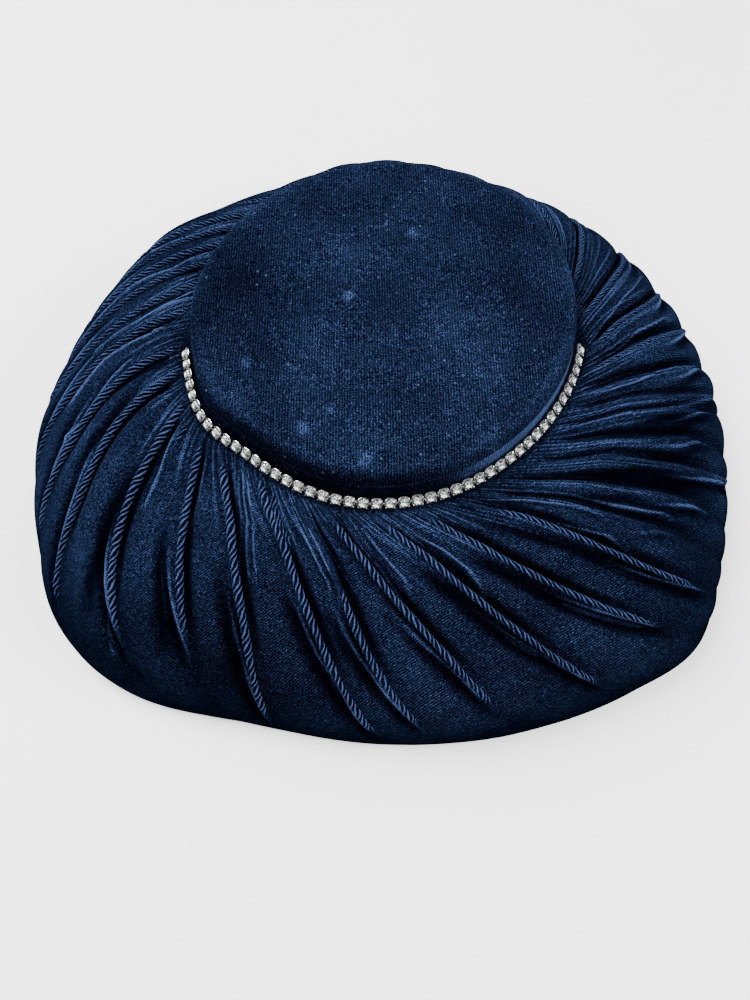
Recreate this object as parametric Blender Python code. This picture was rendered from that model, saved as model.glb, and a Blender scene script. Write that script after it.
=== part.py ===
"""A platter hat: a low round velvet crown on a wide, puffed, tucked brim, with a chain of stones between.

The hat stands on its brim, with the front towards -Y and +Z up. The origin is the middle of the floor
that the brim covers. Lengths are in metres. Angles are in degrees from the front, positive towards +X,
and a spot on the brim is given by its angle and by its share of the way from the chain to the edge.
"""
import math

import bmesh
import bpy
import numpy as np
from mathutils import Matrix, Vector

# Crown
CROWN_RADIUS = 0.0870      # outside of the wall at its foot
CROWN_HEIGHT = 0.0200      # foot to the middle of the top
CROWN_DOME = 0.0022        # rise of the top from its edge to its middle
CROWN_EDGE = 0.0080        # radius of the rounded edge
CROWN_LEAN = 0.0012        # how far the wall leans in by the time it meets the rounded edge
CROWN_WALL = 0.0022        # velvet over a stiff cloth
CROWN_STEPS = 72

# Brim
BRIM_REACH = 0.1770        # crown axis to the edge, straight ahead
BRIM_DROP = 0.0700         # edge to the flat seat under the crown and the chain
BRIM_FULLNESS = 1.8        # power of the rounded section: 2 is a quarter ellipse
BRIM_WALL = 0.0016         # under the hollows between the puffs
BRIM_SEAT_MARGIN = 0.0012  # flat seat that shows outside the chain, and outside the crown where it is bare
BRIM_SEAT_EASE = 12.0      # the seat narrows over this many degrees past the ends of the chain
EDGE_WALL = 0.0030         # the edge is turned under, so it is thicker
EDGE_TURN_HEIGHT = 0.0050  # and this tall
EDGE_ROUNDING = 0.0012
HEAD_LEDGE = 0.0022        # how far the brim reaches in under the crown wall
PUFF_HEIGHT = 0.0024       # swell of the velvet between two tucks
TUCK_HEIGHT = 0.0024       # how proud a stitched tuck stands
TUCK_HALF_WIDTH = 0.0021
TUCK_WIDEST_SHARE = 0.22   # half width of a tuck, as a share of the way to the next, where they crowd
PUFF_SHARE = 0.37          # the two rows of points on a puff, as shares of the way to the next tuck
GATHER_SHARE = 0.63
GATHER_HEIGHT = 0.0013     # short gather between two tucks, next to the chain

# Chain of stones, which lies round the front of the crown and stops at its two sides
STONE_COUNT = 46
STONE_PITCH = 0.00553
CUP_WIDTH = 0.0049
CUP_DEPTH = 0.0016         # rim to back
CUP_BACK_SHARE = 0.80      # width of the cup's back, as a share of the cup
CUP_RIM = 0.0003           # width of the metal that shows round a stone
CUP_END_SHARE = 0.45       # length of the flat end that faces the next cup, as a share of the width
CUP_SIDE_SHARE = 0.64      # length of the flat side along the chain, as a share of the width
STONE_CROWN = 0.0009       # rim to flat top
STONE_TABLE_SHARE = 0.56   # width of the flat top, as a share of the stone
STONE_BREAK_SHARE = 0.82   # width where the steep lower facets meet the flatter upper ones
STONE_BREAK_HEIGHT = 0.60  # and how far up it lies, as a share of STONE_CROWN
STONE_TILT = 45.0          # the stones look outwards and up by this much, in degrees

CLEARANCE = 0.0003         # between one piece and the next

# Plan of the brim's edge. reach is a share of BRIM_REACH.
EDGE_PLAN = [
    # angle, reach
    (0, 1.00), (20, 1.035), (36, 1.085), (47, 1.125), (57, 1.085), (72, 1.03), (92, 0.98), (118, 0.895),
    (145, 0.775), (180, 0.79), (212, 0.752), (236, 0.882), (260, 0.94), (280, 1.015), (296, 1.06),
    (309, 1.11), (322, 1.09), (340, 1.005),
]

# How far the foot of the crown is out of round. out is a share of CROWN_RADIUS.
CROWN_PLAN = [
    # angle, out
    (-163, 0.000), (-142, -0.008), (-118, -0.020), (-95, -0.010), (-76, -0.006), (-57, 0.022),
    (-40, -0.014), (-12, 0.014), (14, 0.008), (38, -0.013), (58, -0.009), (77, 0.010), (97, 0.030),
    (114, 0.060), (133, 0.078), (155, 0.046), (180, 0.022),
]

# The stitched tucks, in order round the brim. Each swings round as it runs outwards, so its angle is
# given beside the chain, a fifth of the way out, half way out and at the edge. end is the share of the
# way out where it dies away, and proud is a share of TUCK_HEIGHT.
TUCKS = [
    # start, fifth, half, edge, end, proud
    (-168, -156, -144, -133, 0.80, 0.8),
    (-156, -144, -131, -121, 0.80, 0.8),
    (-143, -132, -120, -110, 0.75, 0.9),
    (-135, -124, -112, -102, 0.70, 0.7),
    (-126, -116, -104, -94, 0.75, 0.9),
    (-117, -108, -97, -87, 0.70, 0.8),
    (-108, -99, -89, -79, 0.75, 0.9),
    (-97, -91, -80, -69, 0.80, 0.9),
    (-83, -79, -69, -57, 0.78, 1.0),
    (-75, -70, -58, -46, 0.78, 1.0),
    (-65, -56, -45, -26, 0.70, 1.0),
    (-54, -43, -32, -21, 0.60, 0.9),
    (-48, -32, -22, -15, 0.88, 1.0),
    (-35, -20, -9, 2, 0.86, 1.0),
    (-23, -11, -2, 10, 0.80, 1.0),
    (-16, -3, 10, 22, 0.74, 1.0),
    (-4, 10, 23, 38, 0.78, 1.0),
    (7, 21, 36, 55, 0.67, 1.0),
    (17, 34, 46, 58, 0.67, 1.0),
    (22, 41, 53, 61, 0.42, 0.7),
    (29, 48, 59, 66, 0.55, 0.8),
    (37, 55, 65, 74, 0.78, 1.0),
    (46, 60, 71, 78, 0.52, 0.7),
    (51, 66, 77, 87, 0.54, 0.8),
    (57, 70, 80, 90, 0.68, 0.9),
    (64, 76, 86, 96, 0.58, 0.9),
    (72, 84, 94, 105, 0.66, 1.0),
    (80, 92, 103, 116, 0.60, 1.0),
    (90, 103, 115, 132, 0.60, 1.0),
    (102, 117, 130, 146, 0.60, 1.0),
    (114, 131, 146, 159, 0.66, 0.9),
    (126, 143, 158, 170, 0.80, 0.8),
    (138, 154, 168, 180, 0.80, 0.8),
    (150, 165, 179, 191, 0.80, 0.8),
    (163, 177, 191, 203, 0.80, 0.8),
    (177, 190, 203, 215, 0.80, 0.8),
]
TUCK_SHARES = (0.0, 0.2, 0.5, 1.0)

# Rows of the brim's outer surface, and how strong its swells are there.
BRIM_ROWS = [
    # share, puff, gather
    (0.00, 0.00, 0.0), (0.04, 0.30, 0.9), (0.10, 0.60, 1.0), (0.18, 0.85, 0.7), (0.28, 1.00, 0.2),
    (0.40, 1.00, 0.0), (0.53, 0.95, 0.0), (0.67, 0.80, 0.0), (0.81, 0.50, 0.0), (0.92, 0.20, 0.0),
    (1.00, 0.00, 0.0),
]
TUCK_START_SHARE = 0.03    # a tuck has its full height from here on
TUCK_FADE_SHARE = 0.10     # and dies away over this much before its end

NORMAL_STEP_SHARE = 0.01   # step in share that a surface's direction is measured over
NORMAL_STEP_DEGREES = 0.5  # and the step in angle

CROWN_TOP_RINGS = (0.35, 0.70)
CROWN_EDGE_TURNS = (0.0, 30.0, 60.0, 90.0)
CROWN_INNER_TURNS = (90.0, 45.0, 0.0)
HOLLOW_COLUMNS = 60
HOLLOW_ROWS = 8

CLOTH_SHARP_DEGREES = 40.0
STONE_SHARP_DEGREES = 15.0
MERGE_DISTANCE = 1e-6
VELVET_COLOUR = (0.010, 0.022, 0.062, 1.0)
VELVET_ROUGHNESS = 0.95
VELVET_SHEEN = 0.6
STONE_COLOUR = (0.86, 0.89, 0.88, 1.0)
STONE_ROUGHNESS = 0.08
STONE_METALLIC = 0.75


def cubic(t, start, slope_in, end, slope_out):
    """Smooth way from start to end as t runs from 0 to 1, with the slopes given."""
    return (
        (2 * t**3 - 3 * t**2 + 1) * start
        + (t**3 - 2 * t**2 + t) * slope_in
        + (3 * t**2 - 2 * t**3) * end
        + (t**3 - t**2) * slope_out
    )


def wave(rows, angle):
    """A smooth closed curve through rows of (angle, value), read at one angle."""
    first = rows[0][0]
    angle = (angle - first) % 360.0 + first
    last = max(i for i, row in enumerate(rows) if row[0] <= angle)

    def knot(i):
        turns, place = divmod(i, len(rows))
        return rows[place][0] + 360.0 * turns, rows[place][1]

    (a0, v0), (a1, v1), (a2, v2), (a3, v3) = (knot(last + k) for k in (-1, 0, 1, 2))
    slope_in = (v2 - v0) / (a2 - a0) * (a2 - a1)
    slope_out = (v3 - v1) / (a3 - a1) * (a2 - a1)
    return cubic((angle - a1) / (a2 - a1), v1, slope_in, v2, slope_out)


def ramp(value, low, high):
    """0 below low, 1 above high and smooth between."""
    t = min(max((value - low) / (high - low), 0.0), 1.0)
    return t * t * (3.0 - 2.0 * t)


def out_of_round(angle):
    """Factor on a radius at the foot of the crown."""
    return 1.0 + wave(CROWN_PLAN, angle)


def angle_of(point):
    return math.degrees(math.atan2(point.x, -point.y))


def around(radius, angle, height):
    turn = math.radians(angle)
    return Vector((radius * math.sin(turn), -radius * math.cos(turn), height))


# What the pieces share, worked out from the sizes above
TILT = math.radians(STONE_TILT)
CUP_BACK_HALF = CUP_WIDTH / 2 * CUP_BACK_SHARE
CUP_REACH_IN = CUP_DEPTH * math.cos(TILT) + CUP_BACK_HALF * math.sin(TILT)
CUP_REACH_DOWN = CUP_DEPTH * math.sin(TILT) + CUP_BACK_HALF * math.cos(TILT)
CHAIN_SLACK = CROWN_RADIUS * (1.0 - math.cos(STONE_PITCH / CROWN_RADIUS / 2))
CHAIN_RADIUS = CROWN_RADIUS + CLEARANCE + CUP_REACH_IN + CHAIN_SLACK
CHAIN_HEIGHT = BRIM_DROP + CLEARANCE + CUP_REACH_DOWN
STONE_STEP = math.degrees(STONE_PITCH / CHAIN_RADIUS)
CHAIN_HALF_SPAN = STONE_STEP * STONE_COUNT / 2
CHAIN_SEAT_RADIUS = CHAIN_RADIUS + CUP_WIDTH / 2 * math.sin(TILT) + BRIM_SEAT_MARGIN
BARE_SEAT_RADIUS = CROWN_RADIUS + CLEARANCE + BRIM_SEAT_MARGIN
HEAD_RADIUS = CROWN_RADIUS - CROWN_WALL - HEAD_LEDGE
CROWN_FOOT = BRIM_DROP + CLEARANCE


def edge_radius(angle):
    return BRIM_REACH * wave(EDGE_PLAN, angle)


def seat_radius(angle):
    """Outside of the flat seat, which carries the chain in front and only the crown at the sides and back."""
    from_front = abs((angle + 180.0) % 360.0 - 180.0)
    bare = ramp(from_front, CHAIN_HALF_SPAN, CHAIN_HALF_SPAN + BRIM_SEAT_EASE)
    return (CHAIN_SEAT_RADIUS + (BARE_SEAT_RADIUS - CHAIN_SEAT_RADIUS) * bare) * out_of_round(angle)


def dome_point(angle, share, inset=0.0):
    """A spot on the smooth form that the puffs and tucks lie on, or inset inside it."""
    lift = math.cos(share * math.pi / 2) ** (2.0 / BRIM_FULLNESS)
    spread = math.sin(share * math.pi / 2) ** (2.0 / BRIM_FULLNESS)
    foot = seat_radius(angle)
    radius = foot + (edge_radius(angle) - inset - foot) * spread
    return around(radius, angle, (BRIM_DROP - inset) * lift)


def dome_normal(angle, share):
    """The way out of the dome at a spot, kept off its two ends where the section turns sharply."""
    share = min(max(share, 2 * NORMAL_STEP_SHARE), 1.0 - 2 * NORMAL_STEP_SHARE)
    along = dome_point(angle, share + NORMAL_STEP_SHARE) - dome_point(angle, share - NORMAL_STEP_SHARE)
    across = dome_point(angle + NORMAL_STEP_DEGREES, share) - dome_point(angle - NORMAL_STEP_DEGREES, share)
    return along.cross(across).normalized()


def tuck_angle(tuck, share):
    """Where a tuck is, at a share of the way out: a curve through its four angles, which never turns back."""
    steps = [
        (s2 - s1, (a2 - a1) / (s2 - s1))
        for s1, s2, a1, a2 in zip(TUCK_SHARES, TUCK_SHARES[1:], tuck, tuck[1:4])
    ]
    k = max(i for i in range(len(steps)) if i == 0 or TUCK_SHARES[i] <= share)
    length, here = steps[k]
    before = steps[max(k - 1, 0)][1]
    after = steps[min(k + 1, len(steps) - 1)][1]
    slope_in = 2.0 * before * here / (before + here) * length
    slope_out = 2.0 * here * after / (here + after) * length
    return cubic((share - TUCK_SHARES[k]) / length, tuck[k], slope_in, tuck[k + 1], slope_out)


def tuck_strength(tuck, share):
    end, proud = tuck[4], tuck[5]
    fade = 1.0 - ramp(share, end - TUCK_FADE_SHARE, end)
    return proud * fade * ramp(share, 0.0, TUCK_START_SHARE)


def brim_row(share, puff, gather):
    """The points of one row of the brim, five for each tuck: its top, its two feet, and two on the puff."""
    points = []
    nexts = TUCKS[1:] + TUCKS[:1]
    for tuck, after in zip(TUCKS, nexts):
        start = tuck_angle(tuck, share)
        span = (tuck_angle(after, share) - start) % 360.0
        width = math.radians(span) * dome_point(start, share).xy.length
        foot = min(TUCK_HALF_WIDTH / width, TUCK_WIDEST_SHARE)
        for across in (0.0, foot, PUFF_SHARE, GATHER_SHARE, 1.0 - foot):
            angle = start + span * across
            swell = PUFF_HEIGHT * puff * math.sin(math.pi * across)
            if across == 0.0:
                swell += TUCK_HEIGHT * tuck_strength(tuck, share)
            if across == GATHER_SHARE:
                swell += GATHER_HEIGHT * gather
            points.append(dome_point(angle, share) + dome_normal(angle, share) * swell)
    return points


def ring_surface(bm, rings):
    """Joins rings of equal numbers of points with faces, and closes the first and the last."""
    loops = [[bm.verts.new(point) for point in ring] for ring in rings]
    for lower, upper in zip(loops, loops[1:]):
        for i in range(len(lower)):
            j = (i + 1) % len(lower)
            bm.faces.new((lower[i], lower[j], upper[j], upper[i]))
    for loop in (loops[0], loops[-1]):
        bm.faces.new(loop)
    bmesh.ops.recalc_face_normals(bm, faces=bm.faces[:])


def finish_object(bm, name, collection, material, sharp_degrees=CLOTH_SHARP_DEGREES):
    mesh = bpy.data.meshes.new(name)
    bm.to_mesh(mesh)
    bm.free()
    mesh.shade_smooth()
    mesh.set_sharp_from_angle(angle=math.radians(sharp_degrees))
    obj = bpy.data.objects.new(name, mesh)
    collection.objects.link(obj)
    if material:
        mesh.materials.append(material)
    return obj


def make_material(name, colour, roughness, metallic=0.0, sheen=0.0):
    material = bpy.data.materials.new(name)
    material.use_nodes = True
    shader = material.node_tree.nodes["Principled BSDF"]
    shader.inputs["Base Color"].default_value = colour
    shader.inputs["Roughness"].default_value = roughness
    shader.inputs["Metallic"].default_value = metallic
    shader.inputs["Sheen Weight"].default_value = sheen
    return material


def rounded_corner(radius, top, rounding, turns):
    """Points of a profile round a top corner, turned by these degrees from straight up."""
    return [
        (
            radius - rounding + rounding * math.sin(math.radians(turn)),
            top - rounding + rounding * math.cos(math.radians(turn)),
        )
        for turn in turns
    ]


def make_crown(collection, material):
    """A shallow cup, turned from a profile that goes round its wall, then pushed slightly out of round."""
    shoulder = CROWN_RADIUS - CROWN_LEAN
    top = CROWN_HEIGHT - CROWN_DOME
    ceiling = top - CROWN_WALL
    profile = [(0.0, CROWN_HEIGHT)]
    profile += [(share * shoulder, CROWN_HEIGHT - CROWN_DOME * share**2) for share in CROWN_TOP_RINGS]
    profile += rounded_corner(shoulder, top, CROWN_EDGE, CROWN_EDGE_TURNS)
    profile += [(CROWN_RADIUS, 0.0), (CROWN_RADIUS - CROWN_WALL, 0.0)]
    profile += rounded_corner(shoulder - CROWN_WALL, ceiling, CROWN_EDGE - CROWN_WALL, CROWN_INNER_TURNS)
    profile.append((0.0, ceiling))

    bm = bmesh.new()
    verts = [bm.verts.new((radius, 0.0, height)) for radius, height in profile]
    edges = [bm.edges.new(pair) for pair in zip(verts, verts[1:])]
    bmesh.ops.spin(
        bm, geom=verts + edges, axis=(0, 0, 1), cent=(0, 0, 0), angle=math.tau, steps=CROWN_STEPS,
        use_merge=True,
    )
    bmesh.ops.remove_doubles(bm, verts=bm.verts[:], dist=MERGE_DISTANCE)
    bmesh.ops.recalc_face_normals(bm, faces=bm.faces[:])
    for vert in bm.verts:
        factor = out_of_round(angle_of(vert.co))
        vert.co.x *= factor
        vert.co.y *= factor
    return finish_object(bm, "crown", collection, material)


def make_brim(collection, material):
    """The puffed outer surface, as a form that is still closed below."""
    rows = [brim_row(*row) for row in reversed(BRIM_ROWS)]
    edge = rows[0]
    under = [around(point.xy.length - EDGE_ROUNDING, angle_of(point), 0.0) for point in edge]
    lifted = [Vector((point.x, point.y, EDGE_ROUNDING)) for point in edge]
    bm = bmesh.new()
    ring_surface(bm, [under, lifted] + rows[1:])
    return finish_object(bm, "brim", collection, material)


def make_hollow(collection):
    """The room under the brim and the opening for the head, as one cutter."""
    angles = [360.0 * i / HOLLOW_COLUMNS for i in range(HOLLOW_COLUMNS)]
    rings = [
        [around(edge_radius(angle) - EDGE_WALL, angle, height) for angle in angles]
        for height in (-EDGE_WALL, EDGE_TURN_HEIGHT)
    ]
    # The dome is only followed from just above the turned edge
    lowest = math.acos(((EDGE_TURN_HEIGHT + BRIM_WALL) / (BRIM_DROP - BRIM_WALL)) ** (BRIM_FULLNESS / 2))
    for row in range(HOLLOW_ROWS + 1):
        share = lowest / (math.pi / 2) * (1.0 - row / HOLLOW_ROWS)
        rings.append([dome_point(angle, share, BRIM_WALL) for angle in angles])
    for height in (BRIM_DROP - BRIM_WALL, BRIM_DROP + BRIM_WALL):
        rings.append([around(HEAD_RADIUS * out_of_round(angle), angle, height) for angle in angles])
    bm = bmesh.new()
    ring_surface(bm, rings)
    hollow = finish_object(bm, "brim_hollow_cutter", collection, None)
    hollow.hide_render = True
    hollow.display_type = "WIRE"
    return hollow


def octagon(width, height):
    """Eight corners of a square with its corners cut off. Its ends face the next stones, at -X and +X."""
    half = width / 2
    end = half * CUP_END_SHARE
    side = half * CUP_SIDE_SHARE
    corners = [(half, end), (side, half), (-side, half), (-half, end)]
    corners += [(-x, -y) for x, y in corners]
    return [Vector((x, y, height)) for x, y in corners]


def make_chain(collection, material):
    """Stones in their cups, each joined to the next by a short link."""
    stone = CUP_WIDTH - 2 * CUP_RIM
    rings = [
        octagon(CUP_WIDTH * CUP_BACK_SHARE, -CUP_DEPTH),
        octagon(CUP_WIDTH, 0.0),
        octagon(stone, 0.0),
        octagon(stone * STONE_BREAK_SHARE, STONE_CROWN * STONE_BREAK_HEIGHT),
        octagon(stone * STONE_TABLE_SHARE, STONE_CROWN),
    ]
    bm = bmesh.new()
    left_ends = []
    right_ends = []
    for i in range(STONE_COUNT):
        angle = STONE_STEP * (i - (STONE_COUNT - 1) / 2)
        place = (
            Matrix.Translation(around(CHAIN_RADIUS * out_of_round(angle), angle, CHAIN_HEIGHT))
            @ Matrix.Rotation(math.radians(angle), 4, "Z")
            @ Matrix.Rotation(math.pi / 2 - TILT, 4, "X")
        )
        loops = [[bm.verts.new(place @ point) for point in ring] for ring in rings]
        back, rim, table = loops[0], loops[1], loops[-1]
        bm.faces.new(back)
        bm.faces.new(table)
        for j in range(8):
            k = (j + 1) % 8
            for lower, upper in zip(loops[1:], loops[2:]):
                bm.faces.new((lower[j], lower[k], upper[k], upper[j]))
            # The cup is open at its two ends, where the links join it
            if j not in (3, 7):
                bm.faces.new((back[j], back[k], rim[k], rim[j]))
        left_ends.append((back[4], back[3], rim[3], rim[4]))
        right_ends.append((back[7], back[0], rim[0], rim[7]))
    for right, left in zip(right_ends, left_ends[1:]):
        for j in range(4):
            k = (j + 1) % 4
            bm.faces.new((right[j], right[k], left[k], left[j]))
    # The first cup and the last have no link on their outer ends
    bm.faces.new(left_ends[0])
    bm.faces.new(right_ends[-1])
    bmesh.ops.recalc_face_normals(bm, faces=bm.faces[:])
    return finish_object(bm, "rhinestone_band", collection, material, STONE_SHARP_DEGREES)


def clear_scene():
    for obj in list(bpy.data.objects):
        bpy.data.objects.remove(obj, do_unlink=True)


def main():
    clear_scene()
    hat = bpy.data.collections.new("platter_hat")
    cutters = bpy.data.collections.new("platter_hat_cutters")
    bpy.context.scene.collection.children.link(hat)
    bpy.context.scene.collection.children.link(cutters)

    velvet = make_material("navy_velvet", VELVET_COLOUR, VELVET_ROUGHNESS, sheen=VELVET_SHEEN)
    stones = make_material("clear_stones_in_silver", STONE_COLOUR, STONE_ROUGHNESS, metallic=STONE_METALLIC)

    crown = make_crown(hat, velvet)
    crown.location.z = CROWN_FOOT
    brim = make_brim(hat, velvet)
    hollow = make_hollow(cutters)
    cut = brim.modifiers.new("hollow", "BOOLEAN")
    cut.operation = "DIFFERENCE"
    cut.solver = "EXACT"
    cut.object = hollow
    band = make_chain(hat, stones)

    # The brim reaches further in front than behind, so the crown's axis is moved off the middle
    plan = np.array([vert.co.xy for vert in brim.data.vertices])
    middle = (plan.min(axis=0) + plan.max(axis=0)) / 2
    axis = bpy.data.objects.new("crown_axis", None)
    hat.objects.link(axis)
    axis.location = (-middle[0], -middle[1], 0.0)
    for obj in (crown, brim, hollow, band):
        obj.parent = axis


main()
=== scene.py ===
import math
import random

import bpy
import numpy as np
from mathutils import Matrix, Vector, noise


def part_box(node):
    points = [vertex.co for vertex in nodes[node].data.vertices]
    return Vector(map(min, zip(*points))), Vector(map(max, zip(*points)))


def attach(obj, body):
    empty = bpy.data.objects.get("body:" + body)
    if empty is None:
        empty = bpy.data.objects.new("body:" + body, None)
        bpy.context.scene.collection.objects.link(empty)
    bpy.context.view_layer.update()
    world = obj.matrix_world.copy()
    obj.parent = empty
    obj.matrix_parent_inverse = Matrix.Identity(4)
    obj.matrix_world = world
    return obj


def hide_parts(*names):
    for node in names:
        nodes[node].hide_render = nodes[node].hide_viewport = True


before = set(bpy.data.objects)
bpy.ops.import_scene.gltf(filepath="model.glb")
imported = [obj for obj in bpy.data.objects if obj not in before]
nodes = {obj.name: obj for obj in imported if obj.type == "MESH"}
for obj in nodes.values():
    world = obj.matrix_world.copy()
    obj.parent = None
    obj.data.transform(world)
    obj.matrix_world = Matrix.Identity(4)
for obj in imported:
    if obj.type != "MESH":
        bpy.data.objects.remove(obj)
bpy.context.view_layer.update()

# Platter hat: velvet, stitched tucks, a chain of stones, the floor, the lights and the camera.
# Angles are in degrees from the front, positive to the right, and lengths are in metres. A share is
# how far out a spot on the brim is, from 0 beside the chain to 1 at the edge.
print("frame loaded:", ", ".join(sorted(nodes)))

# the form that every piece follows, as the solids have it
hat = {
    "reach": 0.1770,          # crown axis to the brim's edge, straight ahead
    "fullness": 1.8,          # 2 would be a quarter ellipse
    "crownRadius": 0.0870,
    "crownDome": 0.0022,
    "crownEdge": 0.0080,
    "crownLean": 0.0012,
    "crownWall": 0.0022,
    "brimWall": 0.0016,
    "edgeWall": 0.0030,
    "edgeTurn": 0.0050,
    "edgeRounding": 0.0012,
    "headLedge": 0.0022,
    "seatMargin": 0.0012,
    "seatEase": 12.0,         # degrees in which the seat narrows past the ends of the chain
    "stone": 0.0049,
    "stonePitch": 0.00553,
    "stoneCount": 46,
    "stoneTilt": 45.0,
    "cupDepth": 0.0016,
    "cupBack": 0.80,
    "clearance": 0.0003,
}
crownLow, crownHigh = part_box("crown")
crownTop = max(nodes["crown"].data.vertices, key=lambda vert: vert.co.z).co
axisX, axisY = crownTop.x, crownTop.y
brimDrop = crownLow.z - hat["clearance"]
crownHeight = crownHigh.z - crownLow.z

tilt = math.radians(hat["stoneTilt"])
cupHalf = hat["stone"] / 2 * hat["cupBack"]
chainSlack = hat["crownRadius"] * (1.0 - math.cos(hat["stonePitch"] / hat["crownRadius"] / 2))
chainRadius = (
    hat["crownRadius"] + hat["clearance"] + chainSlack
    + hat["cupDepth"] * math.cos(tilt) + cupHalf * math.sin(tilt)
)
chainHeight = brimDrop + hat["clearance"] + hat["cupDepth"] * math.sin(tilt) + cupHalf * math.cos(tilt)
stoneStep = math.degrees(hat["stonePitch"] / chainRadius)
chainHalfSpan = stoneStep * hat["stoneCount"] / 2
chainSeat = chainRadius + hat["stone"] / 2 * math.sin(tilt) + hat["seatMargin"]
bareSeat = hat["crownRadius"] + hat["clearance"] + hat["seatMargin"]
headRadius = hat["crownRadius"] - hat["crownWall"] - hat["headLedge"]

edgePlan = [
    # angle, reach as a share
    (0, 1.00), (20, 1.035), (36, 1.085), (47, 1.125), (57, 1.085), (72, 1.03), (92, 0.98), (118, 0.895),
    (145, 0.775), (180, 0.79), (212, 0.752), (236, 0.882), (260, 0.94), (280, 1.015), (296, 1.06),
    (309, 1.11), (322, 1.09), (340, 1.005),
]
crownPlan = [
    # angle, how far out of round
    (-163, 0.000), (-142, -0.008), (-118, -0.020), (-95, -0.010), (-76, -0.006), (-57, 0.022),
    (-40, -0.014), (-12, 0.014), (14, 0.008), (38, -0.013), (58, -0.009), (77, 0.010), (97, 0.030),
    (114, 0.060), (133, 0.078), (155, 0.046), (180, 0.022),
]
tucks = [
    # start, fifth, half, edge, end, proud
    (-168, -156, -144, -133, 0.80, 0.8),
    (-156, -144, -131, -121, 0.80, 0.8),
    (-143, -132, -120, -110, 0.75, 0.9),
    (-135, -124, -112, -102, 0.70, 0.7),
    (-126, -116, -104, -94, 0.75, 0.9),
    (-117, -108, -97, -87, 0.70, 0.8),
    (-108, -99, -89, -79, 0.75, 0.9),
    (-97, -91, -80, -69, 0.80, 0.9),
    (-83, -79, -69, -57, 0.78, 1.0),
    (-75, -70, -58, -46, 0.78, 1.0),
    (-65, -56, -45, -26, 0.70, 1.0),
    (-54, -43, -32, -21, 0.60, 0.9),
    (-48, -32, -22, -15, 0.88, 1.0),
    (-35, -20, -9, 2, 0.86, 1.0),
    (-23, -11, -2, 10, 0.80, 1.0),
    (-16, -3, 10, 22, 0.74, 1.0),
    (-4, 10, 23, 38, 0.78, 1.0),
    (7, 21, 36, 55, 0.67, 1.0),
    (17, 34, 46, 58, 0.67, 1.0),
    (22, 41, 53, 61, 0.42, 0.7),
    (29, 48, 59, 66, 0.55, 0.8),
    (37, 55, 65, 74, 0.78, 1.0),
    (46, 60, 71, 78, 0.52, 0.7),
    (51, 66, 77, 87, 0.54, 0.8),
    (57, 70, 80, 90, 0.68, 0.9),
    (64, 76, 86, 96, 0.58, 0.9),
    (72, 84, 94, 105, 0.66, 1.0),
    (80, 92, 103, 116, 0.60, 1.0),
    (90, 103, 115, 132, 0.60, 1.0),
    (102, 117, 130, 146, 0.60, 1.0),
    (114, 131, 146, 159, 0.66, 0.9),
    (126, 143, 158, 170, 0.80, 0.8),
    (138, 154, 168, 180, 0.80, 0.8),
    (150, 165, 179, 191, 0.80, 0.8),
    (163, 177, 191, 203, 0.80, 0.8),
    (177, 190, 203, 215, 0.80, 0.8),
]
tuckCount = len(tucks)


# a cubic from one value to the next with a slope at each end
def cubic(t, start, slopeIn, end, slopeOut):
    return (
        (2 * t**3 - 3 * t**2 + 1) * start
        + (t**3 - 2 * t**2 + t) * slopeIn
        + (3 * t**2 - 2 * t**3) * end
        + (t**3 - t**2) * slopeOut
    )


def closedCurve(rows):
    count = len(rows)
    turns = [divmod(k, count) for k in range(-1, count + 2)]
    angle = np.array([rows[place][0] + 360.0 * turn for turn, place in turns])
    value = np.array([rows[place][1] for turn, place in turns])
    slope = (value[2:] - value[:-2]) / (angle[2:] - angle[:-2])
    fine = np.arange(angle[1], angle[1] + 360.0, 0.25)
    k = np.clip(np.searchsorted(angle, fine, side="right") - 1, 1, count)
    gap = angle[k + 1] - angle[k]
    after = np.where(k < count, k, 0)          # the last knot is the first again
    read = cubic((fine - angle[k]) / gap, value[k], slope[k - 1] * gap, value[k + 1], slope[after] * gap)
    return lambda at: np.interp(at, fine, read, period=360.0)


edgeReach = closedCurve(edgePlan)
roundness = closedCurve(crownPlan)


def smooth(value, low, high):
    t = np.clip((np.asarray(value, float) - low) / (high - low), 0.0, 1.0)
    return t * t * (3.0 - 2.0 * t)


def bell(distance, half):
    return np.exp(-((distance / half) ** 2))


def degreesApart(angle, other):
    return (angle - other + 180.0) % 360.0 - 180.0


def around(radius, angle, height):
    turn = np.radians(angle)
    x, y, z = np.broadcast_arrays(axisX + radius * np.sin(turn), axisY - radius * np.cos(turn), height)
    return np.stack((x, y, z), axis=-1)


def edgeRadius(angle):
    return hat["reach"] * edgeReach(angle)


def seatRadius(angle):
    bare = smooth(np.abs(degreesApart(angle, 0.0)), chainHalfSpan, chainHalfSpan + hat["seatEase"])
    return (chainSeat + (bareSeat - chainSeat) * bare) * (1.0 + roundness(angle))


def domeRadius(angle, share, inset=0.0):
    bow = np.clip(np.asarray(share, float), 0.0, 1.0) * math.pi / 2
    foot = seatRadius(angle)
    return foot + (edgeRadius(angle) - inset - foot) * np.sin(bow) ** (2.0 / hat["fullness"])


def domePoint(angle, share, inset=0.0):
    bow = np.clip(np.asarray(share, float), 0.0, 1.0) * math.pi / 2
    height = (brimDrop - inset) * np.cos(bow) ** (2.0 / hat["fullness"])
    return around(domeRadius(angle, share, inset), angle, height)


def unit(vectors):
    return vectors / np.linalg.norm(vectors, axis=-1, keepdims=True)


def domeNormal(angle, share):
    share = np.clip(share, 0.02, 0.98)
    along = domePoint(angle, share + 0.01) - domePoint(angle, share - 0.01)
    across = domePoint(angle + 0.5, share) - domePoint(angle - 0.5, share)
    return unit(np.cross(along, across))


shareSteps = np.linspace(0.0, 1.0, 201)


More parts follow.
